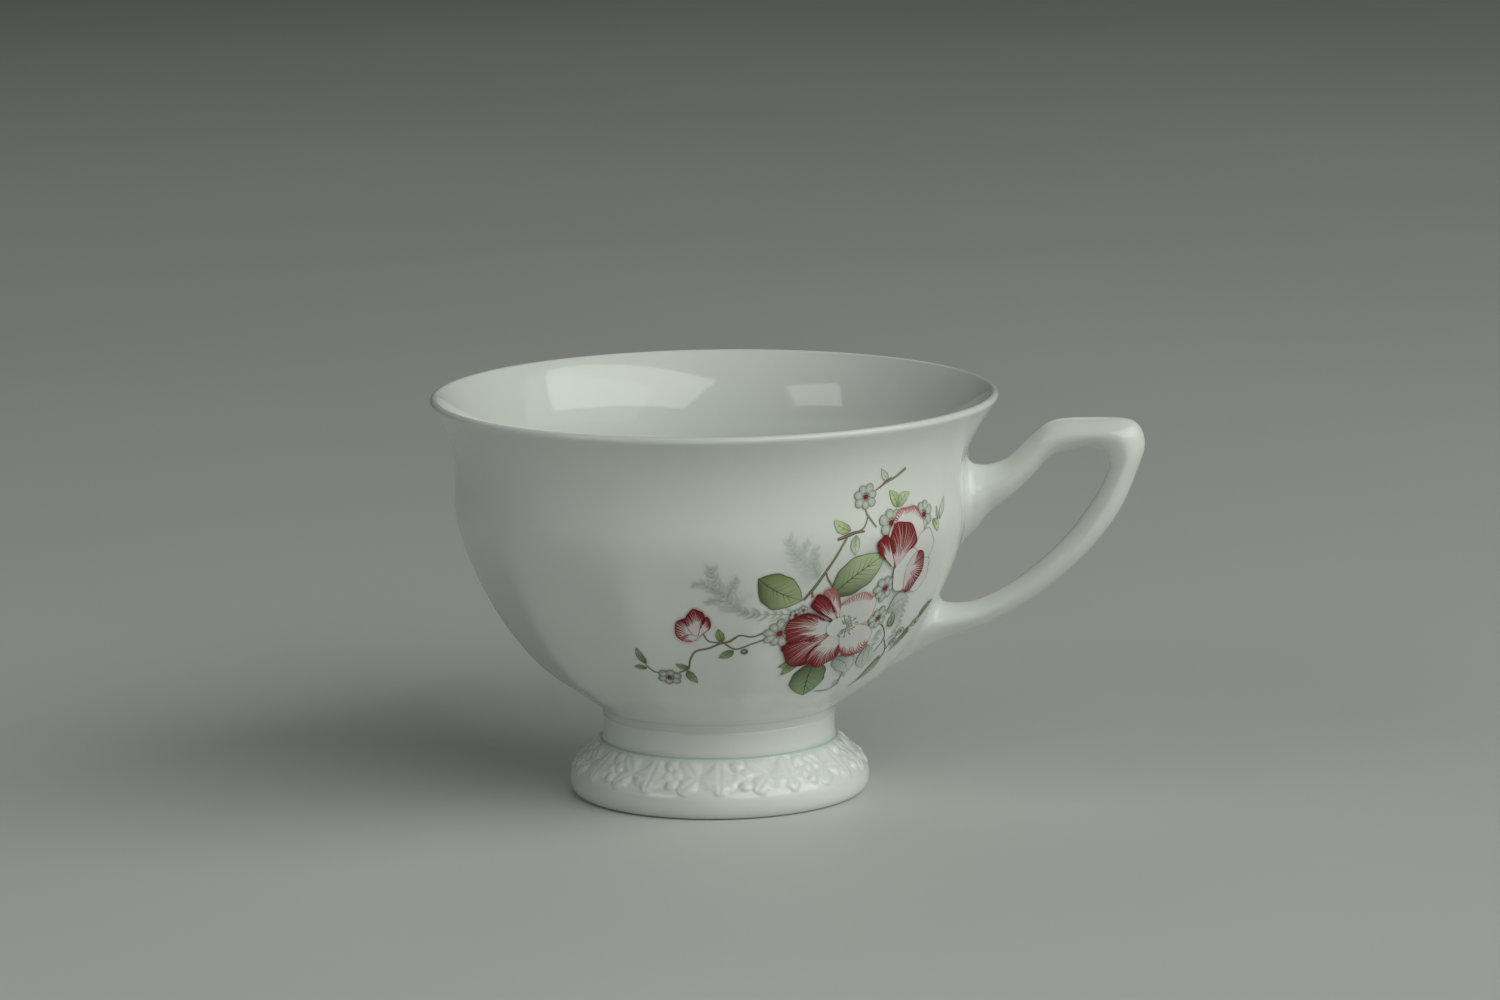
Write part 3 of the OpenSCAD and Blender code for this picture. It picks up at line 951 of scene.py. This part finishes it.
def paint_ferns():
    """Pale shadow ferns and washes behind the flowers."""
    back = Enamel("fern_and_shadow_wash", 0.014)
    for place, size, tint, coat, turn in [
        ((-63.0, 46.0), (2.6, 3.2), (0.80, 0.84, 0.81), 0, 20),
        ((-47.5, 46.5), (3.6, 4.6), (0.74, 0.79, 0.76), 0, 25),
        ((-80.0, 41.0), (3.2, 2.0), (0.84, 0.87, 0.84), 0, 30),
        ((-36.5, 39.5), (3.4, 4.2), (0.62, 0.67, 0.66), 1, -20),
        ((-33.0, 35.0), (3.0, 4.6), SHADOW_BLUE, 2, -12),
        ((-43.0, 27.0), (5.2, 3.0), (0.66, 0.71, 0.68), 1, 10),
        ((-35.5, 27.0), (3.8, 2.8), (0.72, 0.76, 0.74), 2, 20),
        ((-66.0, 37.5), (3.4, 2.4), (0.80, 0.83, 0.78), 1, 0),
    ]:
        back.wash(place, size, tint, coat, turn)
    for places, reach, tint, coat, count in [
        ([(-64.4, 38.1), (-69.9, 38.5), (-75.2, 38.8), (-78.5, 39.3)], 2.4, (0.36, 0.42, 0.33), 3, 9),
        ([(-78.5, 39.3), (-80.8, 40.8), (-83.4, 42.9), (-84.9, 45.2), (-85.3, 47.8)],
         2.8, FERN_GREY, 3, 13),
        ([(-81.8, 41.9), (-80.8, 43.7), (-79.3, 45.8)], 1.5, FERN_GREY, 4, 7),
        ([(-84.0, 43.0), (-87.1, 44.4), (-89.9, 44.2)], 1.4, FERN_GREY, 4, 7),
        ([(-82.7, 41.3), (-84.8, 41.4), (-86.8, 40.8)], 1.2, FERN_GREY, 4, 6),
        ([(-61.0, 44.6), (-63.8, 46.9), (-67.0, 49.1), (-68.6, 52.0)], 2.7, (0.70, 0.76, 0.71), 3, 12),
        ([(-61.0, 44.9), (-62.5, 47.1), (-62.3, 50.2)], 1.8, (0.60, 0.68, 0.63), 4, 8),
        ([(-66.0, 49.0), (-64.9, 50.3), (-63.9, 51.4)], 1.2, (0.72, 0.78, 0.73), 4, 5),
        ([(-36.0, 39.9), (-32.0, 37.6), (-29.5, 33.8), (-29.2, 30.3)], 2.2, (0.40, 0.46, 0.45), 5, 12),
        ([(-45.0, 30.5), (-43.8, 27.9), (-43.9, 25.3), (-45.4, 22.6)], 1.8, (0.44, 0.52, 0.44), 5, 9),
        ([(-38.0, 33.0), (-37.0, 29.5), (-38.5, 26.0)], 1.6, (0.52, 0.58, 0.54), 5, 8),
        ([(-25.5, 27.5), (-22.5, 30.4), (-20.0, 33.8), (-18.9, 36.4)], 1.3, (0.34, 0.42, 0.28), 5, 9),
    ]:
        back.frond(places, reach, tint, coat, count)
    return back


def paint_twigs():
    """Woody stems of the spray. Those with a last tint change towards it along the way."""
    wood = Enamel("twigs", 0.044)
    for places, widths, tint, coat, *last in [
        ([(-39.5, 61.7), (-42.2, 60.5), (-44.7, 59.8), (-47.6, 58.7)], [0.62, 0.45, 0.4, 0.3],
         TWIG_OLIVE, 0),
        ([(-43.4, 60.5), (-45.2, 59.9), (-46.6, 58.9)], [0.2, 0.3, 0.2], TWIG_BROWN, 2),
        ([(-50.3, 55.6), (-49.7, 54.5), (-47.6, 52.4)], [0.3, 0.42, 0.3], (0.34, 0.29, 0.19), 0),
        ([(-49.7, 54.5), (-50.8, 52.7), (-52.9, 51.9)], [0.3, 0.3, 0.35], (0.34, 0.29, 0.19), 0),
        ([(-57.4, 51.1), (-54.6, 51.7), (-52.9, 52.0), (-50.7, 52.0)], [0.5, 0.65, 0.5, 0.3],
         TWIG_BROWN, 2),
        ([(-55.0, 51.5), (-56.4, 49.6), (-58.1, 47.2), (-59.7, 45.1), (-61.5, 42.8), (-63.7, 40.7)],
         [0.44, 0.4, 0.46, 0.54, 0.62, 0.5], (0.30, 0.28, 0.18), 0, (0.14, 0.13, 0.08)),
        ([(-59.4, 45.8), (-58.6, 44.4), (-57.0, 42.8)], [0.35, 0.3, 0.4], (0.28, 0.25, 0.16), 2),
        ([(-61.9, 42.4), (-61.5, 41.0)], [0.35, 0.4], TWIG_BROWN, 2),
        ([(-103.7, 29.1), (-102.3, 27.9), (-100.0, 27.3)], [0.2, 0.28, 0.28], TWIG_BROWN, 0),
        ([(-95.0, 27.6), (-92.3, 28.4), (-91.5, 30.1), (-89.8, 31.8), (-86.4, 32.4), (-83.5, 33.3),
          (-81.0, 33.8), (-78.6, 34.9), (-75.5, 34.6), (-72.0, 35.5)],
         [0.3, 0.34, 0.32, 0.38, 0.36, 0.4, 0.42, 0.3, 0.3, 0.28], TWIG_BROWN, 0),
        ([(-82.4, 33.4), (-79.8, 32.3), (-77.4, 32.7), (-75.3, 33.3), (-72.2, 34.0)],
         [0.3, 0.3, 0.26, 0.26, 0.24], TWIG_BROWN, 2),
        ([(-87.5, 35.1), (-86.3, 33.8), (-83.5, 33.5)], [0.2, 0.26, 0.3], TWIG_BROWN, 2),
        ([(-39.6, 34.4), (-36.4, 33.2), (-33.2, 30.8), (-34.6, 28.4)], [0.22, 0.3, 0.3, 0.34],
         TWIG_BROWN, 0),
        ([(-32.6, 30.5), (-28.0, 27.6), (-28.9, 24.2), (-33.6, 21.6)], [0.26, 0.3, 0.32, 0.3],
         (0.22, 0.22, 0.13), 2),
        ([(-48.3, 29.5), (-45.9, 27.9), (-44.9, 25.3), (-44.0, 23.2)], [0.2, 0.26, 0.24, 0.16],
         (0.26, 0.28, 0.19), 4),
        ([(-51.0, 22.2), (-46.4, 22.2), (-43.2, 23.4)], [0.16, 0.24, 0.14], (0.34, 0.37, 0.27), 4),
        ([(-19.1, 35.9), (-19.9, 33.6), (-22.6, 31.8), (-26.6, 30.6), (-28.6, 28.2)],
         [0.18, 0.24, 0.26, 0.26, 0.22], (0.26, 0.24, 0.15), 4),
    ]:
        wood.twig(places, widths, tint, coat, *last)
    return wood


def paint_leaves():
    """Green leaves of the spray: three large ones, sprigs along the twigs, and pale ones in shadow."""
    green = Enamel("leaves", 0.084)
    for dark_end, pale_end, half, *rest in [
        ((-75.0, 45.3), (-64.0, 40.7), 3.3, (0.16, 0.20, 0.09), (0.50, 0.60, 0.33), 0, -0.06, 6, 0.48),
        ((-56.9, 40.9), (-45.0, 47.6), 3.2, LEAF_DARK, (0.64, 0.76, 0.47), 0, 0.05, 7, 0.47),
        ((-56.4, 28.9), (-54.2, 21.6), 3.1, LEAF_DEEP, (0.36, 0.50, 0.27), 0, -0.05, 5, 0.46),
        ((-61.4, 29.3), (-67.4, 28.2), 0.75),
        ((-61.2, 28.8), (-65.8, 26.5), 0.85, LEAF_DARK, LEAF_MID, 2, -0.05, 2),
        ((-54.2, 52.4), (-58.2, 54.4), 0.95, LEAF_MID, (0.78, 0.88, 0.55), 0, 0.1, 3),
        ((-52.9, 51.5), (-52.7, 48.1), 0.85, (0.55, 0.68, 0.44), (0.82, 0.92, 0.70), 0, -0.05, 2),
        ((-41.6, 55.2), (-43.7, 58.3), 0.85, LEAF_MID, (0.76, 0.88, 0.52), 0, -0.1, 3),
        ((-41.4, 55.3), (-37.8, 57.4), 0.95, LEAF_MID, (0.78, 0.90, 0.58), 2, 0.1, 3),
        ((-29.9, 51.9), (-27.6, 49.6), 0.7, LEAF_MID, (0.80, 0.90, 0.62), 2, 0.1, 2),
        ((-83.0, 33.6), (-83.9, 36.1), 0.7, LEAF_DARK, LEAF_MID, 0, 0.0, 2),
        ((-80.0, 32.0), (-83.8, 30.6), 0.75),
        ((-103.5, 29.3), (-105.1, 32.4), 0.62, LEAF_DARK, LEAF_SAGE),
        ((-103.7, 28.4), (-107.3, 28.6), 0.5, LEAF_DARK, LEAF_SAGE, 0, -0.05, 2),
        ((-92.0, 28.5), (-95.6, 29.3), 0.55, LEAF_DARK, LEAF_SAGE, 0, 0.08, 2),
        ((-92.6, 28.0), (-90.2, 25.5), 0.75, LEAF_DARK, LEAF_MID, 0, -0.05, 2),
        ((-32.6, 33.0), (-35.0, 35.9), 0.9, LEAF_DARK, (0.50, 0.62, 0.42), 4, 0.1, 3),
        ((-22.6, 31.6), (-25.4, 28.6), 0.7, LEAF_DARK, LEAF_MID, 2, 0.1, 2),
        ((-20.4, 33.2), (-17.9, 36.2), 0.6, LEAF_DARK, LEAF_MID, 2, 0.1, 2),
        ((-50.6, 28.9), (-43.4, 25.6), 1.9, (0.50, 0.55, 0.49), (0.82, 0.85, 0.80), 6, 0.12, 4),
        ((-38.2, 36.4), (-30.6, 38.0), 1.8, (0.56, 0.60, 0.59), (0.82, 0.85, 0.84), 6, 0.15, 4),
        ((-40.6, 30.6), (-35.6, 25.6), 1.5, (0.54, 0.58, 0.54), (0.82, 0.85, 0.81), 8, -0.1, 3),
        ((-29.6, 27.2), (-31.6, 22.6), 1.1, (0.34, 0.40, 0.28), (0.62, 0.70, 0.54), 6, 0.1, 3),
    ]:
        green.leaf(dark_end, pale_end, half, *rest)
    for base, tip, half in [((-44.3, 59.8), (-46.7, 62.3), 0.6), ((-27.4, 51.6), (-25.0, 55.2), 0.62),
                            ((-28.0, 51.7), (-28.5, 54.0), 0.3)]:
        green.outline_leaf(base, tip, half, 2)
    paint_berry(green)
    return green


def paint_berry(green):
    """A single berry on the long twig."""
    green.fill(Chart(-77.3, 31.8), 0.62 * circle(18), (-0.15, 0.15),
               lambda out: blend(LEAF_MID, LEAF_DEEP, ease(0.2, 0.9, out)), 2, 5)


def paint_blossoms():
    """Small grey-white blossoms with crimson hearts. Some are narrower than high, some greyer."""
    small = Enamel("small_blossoms", 0.14)
    for place, radius, petals, turn, coat, squash, grey in [
        ((-50.3, 57.8), 2.25, 7, 12, 0, 1.0, BLOOM_GREY),
        ((-43.6, 52.8), 2.5, 6, 40, 0, 1.0, BLOOM_GREY),
        ((-33.3, 53.1), 2.5, 7, 20, 0, 0.85, BLOOM_GREY),
        ((-42.5, 41.2), 2.5, 8, 0, 6, 1.0, (0.52, 0.57, 0.53)),
        ((-41.2, 35.6), 2.3, 7, 25, 0, 1.0, (0.50, 0.55, 0.50)),
        ((-68.7, 34.9), 2.9, 9, 10, 0, 1.0, (0.50, 0.53, 0.48)),
        ((-65.2, 38.1), 1.1, 5, 0, 8, 1.0, (0.55, 0.58, 0.52)),
        ((-63.4, 38.9), 0.9, 5, 30, 14, 1.0, (0.55, 0.58, 0.52)),
        ((-98.0, 26.7), 1.95, 6, 15, 0, 1.0, (0.40, 0.40, 0.33)),
        ((-21.1, 32.5), 0.9, 5, 0, 0, 1.0, BLOOM_GREY),
        ((-26.4, 31.4), 0.85, 5, 20, 0, 1.0, BLOOM_GREY),
        ((-27.4, 29.6), 0.75, 5, 40, 8, 1.0, BLOOM_GREY),
    ]:
        small.blossom(place, radius, petals, turn, coat, squash, grey)
    return small


def paint_roses():
    """The two large crimson-edged flowers and the bud."""
    rose = Enamel("crimson_flowers", 0.26)
    paint_open_flower(rose)
    paint_half_closed_flower(rose)
    paint_bud(rose)
    return rose


def paint_open_flower(rose):
    """Seven petals, the red ones on the left, round a heart with stamens."""
    heart = (-52.6, 35.2)
    blush = (0.985, 0.95, 0.95)
    petals = [
        ([(-55.2, 38.6), (-58.6, 41.4), (-57.4, 42.7), (-55.4, 41.5), (-53.9, 39.0)],
         0.3, 0.42, (0.0, 1.0), CRIMSON, blush, 2),
        ([(-53.6, 38.9), (-50.9, 40.7), (-47.0, 40.9), (-44.6, 39.2), (-44.4, 36.8), (-46.8, 35.2)],
         0.2, 0.26, (0.05, 0.5), CRIMSON, blush, 3),
        ([(-57.6, 32.9), (-62.5, 33.2), (-67.2, 32.4), (-66.2, 30.1), (-61.5, 28.1), (-57.2, 29.6)],
         1.0, 0.66, (0.1, 0.95), DEEP_CRIMSON, (0.93, 0.70, 0.72), 7),
        ([(-56.0, 36.9), (-59.6, 38.3), (-61.6, 39.7), (-60.6, 41.4), (-58.2, 41.1), (-55.6, 38.6)],
         1.0, 0.62, (0.0, 1.0), CRIMSON, (0.95, 0.82, 0.84), 8),
        ([(-57.2, 36.7), (-61.5, 38.2), (-65.6, 37.8), (-67.4, 35.2), (-65.2, 33.2), (-58.4, 33.6)],
         1.0, 0.56, (0.05, 0.95), CRIMSON, (0.97, 0.90, 0.91), 5),
        ([(-56.4, 32.8), (-59.6, 30.4), (-58.0, 28.3), (-54.4, 27.9), (-50.6, 29.4), (-50.8, 32.4)],
         0.85, 0.5, (0.1, 0.9), CRIMSON, (0.98, 0.93, 0.93), 10),
        ([(-51.2, 32.0), (-48.8, 29.6), (-44.8, 29.3), (-41.8, 31.2), (-42.6, 33.6), (-46.4, 35.2)],
         0.6, 0.36, (0.12, 0.62), CRIMSON, blush, 11),
    ]
    for k, (edge, red, reach, span, dark, body, seed) in enumerate(petals):
        rose.petal(heart, edge, 4 * k, red, reach, span, dark, body, seed)
    rose.wash((-52.4, 35.2), (2.6, 2.1), (0.99, 0.99, 0.965), 30)
    paint_stamens(rose)


def paint_stamens(rose):
    """Fine stamens spread to the right of the flower's heart, each with a dot at its end."""
    chart = Chart(-51.6, 35.2)
    for k in range(19):
        out = ray(math.radians(-110 + 12.5 * k))
        far = 1.75 + 0.55 * math.sin(2.7 * k)
        thread = [out * 0.5, out * far * 0.6 + [0.05, 0.02], out * far]
        rose.stroke(chart, thread, [0.08, 0.13, 0.14], LINE_OLIVE, 32)
        rose.stroke(chart, np.outer([far, far + 0.14, far + 0.28], out), [0.3, 0.24], BLOOM_LINE, 33)


def paint_half_closed_flower(rose):
    """Four pale petals behind, then three red ones folded over them."""
    blush = (0.985, 0.965, 0.965)
    rose.petal((-39.6, 46.0), [(-44.2, 49.6), (-43.4, 52.6), (-40.4, 54.9), (-36.6, 54.8), (-34.0, 52.6),
                               (-34.0, 48.8)], 0, 0.34, 0.16, (0.2, 0.75), CRIMSON, blush, 21)
    for heart, edge, coat, body, seed in [
        ((-36.6, 45.4), [(-34.8, 49.6), (-31.8, 50.6), (-29.2, 48.6), (-28.6, 45.8), (-31.0, 44.4)],
         3, blush, 22),
        ((-36.4, 43.6), [(-31.5, 45.3), (-28.4, 44.8), (-26.8, 42.0), (-27.8, 39.6), (-31.8, 39.6)],
         6, blush, 23),
        ((-41.2, 44.0), [(-41.0, 47.0), (-37.6, 48.2), (-34.4, 46.8), (-33.4, 43.2), (-35.4, 40.2),
                         (-39.4, 40.8)], 9, (0.99, 0.985, 0.98), 25),
    ]:
        rose.petal(heart, edge, coat, 0.0, 0.2, (0.2, 0.8), CRIMSON, body, seed)
    for heart, edge, coat, red, reach, span, body, seed in [
        ((-37.0, 44.4), [(-35.2, 46.6), (-33.0, 46.9), (-30.8, 45.4), (-29.9, 42.8), (-31.0, 40.4),
                         (-33.6, 39.5), (-35.6, 41.0)],
         12, 1.0, 0.64, (0.1, 0.85), (0.96, 0.86, 0.87), 24),
        ((-41.8, 44.8), [(-44.0, 46.2), (-46.6, 47.8), (-47.3, 49.6), (-46.0, 50.8), (-44.2, 50.2),
                         (-42.6, 48.0)], 16, 0.9, 0.5, (0.1, 0.9), (0.97, 0.90, 0.90), 26),
        ((-41.0, 44.8), [(-43.0, 47.4), (-44.2, 50.0), (-42.8, 52.2), (-39.8, 52.7), (-37.2, 51.4),
                         (-35.6, 49.0), (-38.2, 47.2)],
         20, 1.0, 0.75, (0.02, 0.9), (0.93, 0.72, 0.74), 27),
    ]:
        rose.petal(heart, edge, coat, red, reach, span, CRIMSON, body, seed)


def paint_bud(rose):
    """Four short petals of the bud on the left."""
    blush = (0.97, 0.90, 0.90)
    for heart, edge, coat, red, reach, span, seed in [
        ((-89.2, 34.2), [(-92.4, 33.9), (-94.4, 35.4), (-93.6, 37.6), (-91.8, 38.0), (-90.4, 36.6)],
         0, 1.0, 0.5, (0.1, 0.95), 31),
        ((-89.2, 34.4), [(-91.6, 37.0), (-90.9, 39.2), (-88.8, 39.9), (-87.2, 38.8), (-87.8, 36.4)],
         4, 1.0, 0.5, (0.05, 0.95), 32),
        ((-89.0, 34.4), [(-87.9, 37.2), (-86.9, 38.5), (-85.7, 37.8), (-86.0, 36.3), (-87.6, 35.4)],
         8, 1.0, 0.42, (0.0, 0.7), 33),
        ((-88.6, 34.9), [(-91.2, 35.2), (-93.0, 34.6), (-92.0, 33.9), (-90.2, 34.0)],
         12, 0.4, 0.4, (0.1, 0.9), 34),
    ]:
        rose.petal(heart, edge, coat, red, reach, span, CRIMSON, blush, seed)


def paint_back_sprig():
    """A small sprig on the side away from the main spray."""
    sprig = Enamel("back_sprig", 0.03)
    sprig.twig([(-168.5, 40.4), (-171.5, 39.4), (-175.5, 39.8), (-180.5, 38.2), (-186.0, 38.6)],
               [0.2, 0.28, 0.3, 0.28, 0.2], TWIG_BROWN, 0)
    for dark_end, pale_end, half in [
        ((-169.4, 40.2), (-166.6, 41.9), 0.65),
        ((-172.0, 39.4), (-170.6, 37.3), 0.65),
        ((-182.0, 38.3), (-183.5, 41.0), 0.8),
        ((-186.0, 38.6), (-189.6, 37.2), 0.7),
    ]:
        sprig.leaf(dark_end, pale_end, half, coat=3)
    sprig.blossom((-176.6, 38.7), 1.95, 6, 10, 8, grey=(0.50, 0.52, 0.46))
    for heart, edge, coat, seed in [
        ((-184.4, 38.9), [(-187.4, 39.4), (-189.2, 41.4), (-188.0, 43.0), (-185.8, 41.8)], 8, 41),
        ((-184.2, 39.0), [(-186.4, 41.4), (-186.4, 43.4), (-184.2, 44.0), (-182.8, 42.0)], 12, 42),
    ]:
        sprig.petal(heart, edge, coat, 1.0, 0.6, (0.1, 0.9), CRIMSON, (0.97, 0.90, 0.90), seed)
    return sprig


def build_sprays():
    """All the painting, one piece for each kind of mark."""
    material = enamel_material()
    coats = [paint_ferns(), paint_twigs(), paint_leaves(), paint_blossoms(), paint_roses(),
             paint_back_sprig()]
    return [coat.finish(material) for coat in coats]


# ---- Assembly ----

def dress_cad_node(name, material):
    """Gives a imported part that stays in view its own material."""
    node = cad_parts[name]
    node.data.materials.clear()
    node.data.materials.append(material)


def assemble():
    """Builds every piece and hangs it under the root body; the two imported slip rings that stay in view
    get the seam glaze.
    """
    pieces = [build_bowl(), build_collar(), build_foot(), build_handle()]
    joints = [*build_handle_joints(), build_seat_fillet()]
    for piece in pieces:
        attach(piece, "root")
    for piece in joints:
        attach(piece, "root")
    for piece in build_sprays():
        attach(piece, "root")
    dress_cad_node("bowl_slip", SEAM_GLAZE)
    dress_cad_node("foot_slip", SEAM_GLAZE)


# ---- Floor, light and camera ----

def build_floor():
    """A plain pale floor."""
    nodes = Nodes("pale_floor")
    colour = nodes.ramp(nodes.noise(3, 3), [(0.3, (0.60, 0.60, 0.59)), (0.7, (0.64, 0.64, 0.63))])
    nodes.link(colour, nodes.shader.inputs["Base Color"])
    nodes.shader.inputs["Roughness"].default_value = 0.55
    size = 4000.0
    points = [(-size, -size, 0), (size, -size, 0), (size, size, 0), (-size, size, 0)]
    floor = add_mesh("floor", points, [(0, 1, 2, 3)], nodes.material, smooth_angle=None)


# Soft rectangular lamps facing the cup: place and size in metres, power in watts, and colour. All of
# them are very slightly green, as the white glaze is.
LAMPS = {
    "key_right": ((0.79, -0.55, 0.87), (1.7, 0.8), 9.7, (0.965, 1.0, 0.92)),
    "wide_right": ((1.93, -0.52, 0.93), (2.6, 1.8), 9.9, (0.96, 1.0, 0.935)),
    "window_left": ((-0.74, -0.69, 0.65), (0.5, 0.4), 1.3, (0.95, 1.0, 0.955)),
    "fill_back": ((-0.3, 1.0, 1.0), (0.7, 0.5), 0.8, (0.95, 1.0, 0.955)),
}
LAMP_AIM = Vector((0, 0, 0.04))
ROOM_COLOUR = (0.785, 0.81, 0.775, 1)
ROOM_STRENGTH = 0.062


def build_lights():
    """The lamps, and a dim even light from the room."""
    for name, (place, size, watts, colour) in LAMPS.items():
        data = bpy.data.lights.new(name, "AREA")
        data.shape = "RECTANGLE"
        data.size, data.size_y = size
        data.energy = watts
        data.color = colour
        lamp = bpy.data.objects.new(name, data)
        lamp.location = place
        lamp.rotation_euler = (LAMP_AIM - Vector(place)).to_track_quat("-Z", "Y").to_euler()
        bpy.context.scene.collection.objects.link(lamp)
    world = bpy.data.worlds.new("studio")
    world.use_nodes = True
    back = world.node_tree.nodes["Background"]
    back.inputs["Color"].default_value = ROOM_COLOUR
    back.inputs["Strength"].default_value = ROOM_STRENGTH
    bpy.context.scene.world = world


# The camera stands a metre from the cup's axis, CAMERA_SIDE degrees round towards the handle from
# square-on to it. Its yaw, pitch and roll are degrees too; lens and sensor are millimetres.
CAMERA_AWAY = 1.0
CAMERA_HEIGHT = 0.229
CAMERA_SIDE = 6.0
CAMERA_YAW = 0.34
CAMERA_PITCH = 10.1
CAMERA_ROLL = -0.79
CAMERA_LENS = 140.8
CAMERA_SENSOR = 36


def build_camera():
    """The camera in front of the cup."""
    data = bpy.data.cameras.new("camera")
    data.sensor_fit = "HORIZONTAL"
    data.sensor_width = CAMERA_SENSOR
    data.lens = CAMERA_LENS
    data.clip_start, data.clip_end = 0.05, 20
    camera = bpy.data.objects.new("camera", data)
    yaw, pitch, roll = (math.radians(a) for a in (CAMERA_YAW, CAMERA_PITCH, CAMERA_ROLL))
    ahead = Vector((math.sin(yaw) * math.cos(pitch), math.cos(yaw) * math.cos(pitch), -math.sin(pitch)))
    right = Vector((math.cos(yaw), -math.sin(yaw), 0))
    up = right.cross(ahead)
    right_rolled = math.cos(roll) * right + math.sin(roll) * up
    up_rolled = -math.sin(roll) * right + math.cos(roll) * up
    turn = Matrix((right_rolled, up_rolled, -ahead)).transposed().to_4x4()
    place = Matrix.Translation((0, -CAMERA_AWAY, CAMERA_HEIGHT))
    camera.matrix_world = Matrix.Rotation(math.radians(CAMERA_SIDE), 4, "Z") @ place @ turn
    bpy.context.scene.collection.objects.link(camera)
    bpy.context.scene.camera = camera


assemble()
build_floor()
build_lights()
build_camera()
bpy.context.scene.view_settings.view_transform = "Standard"
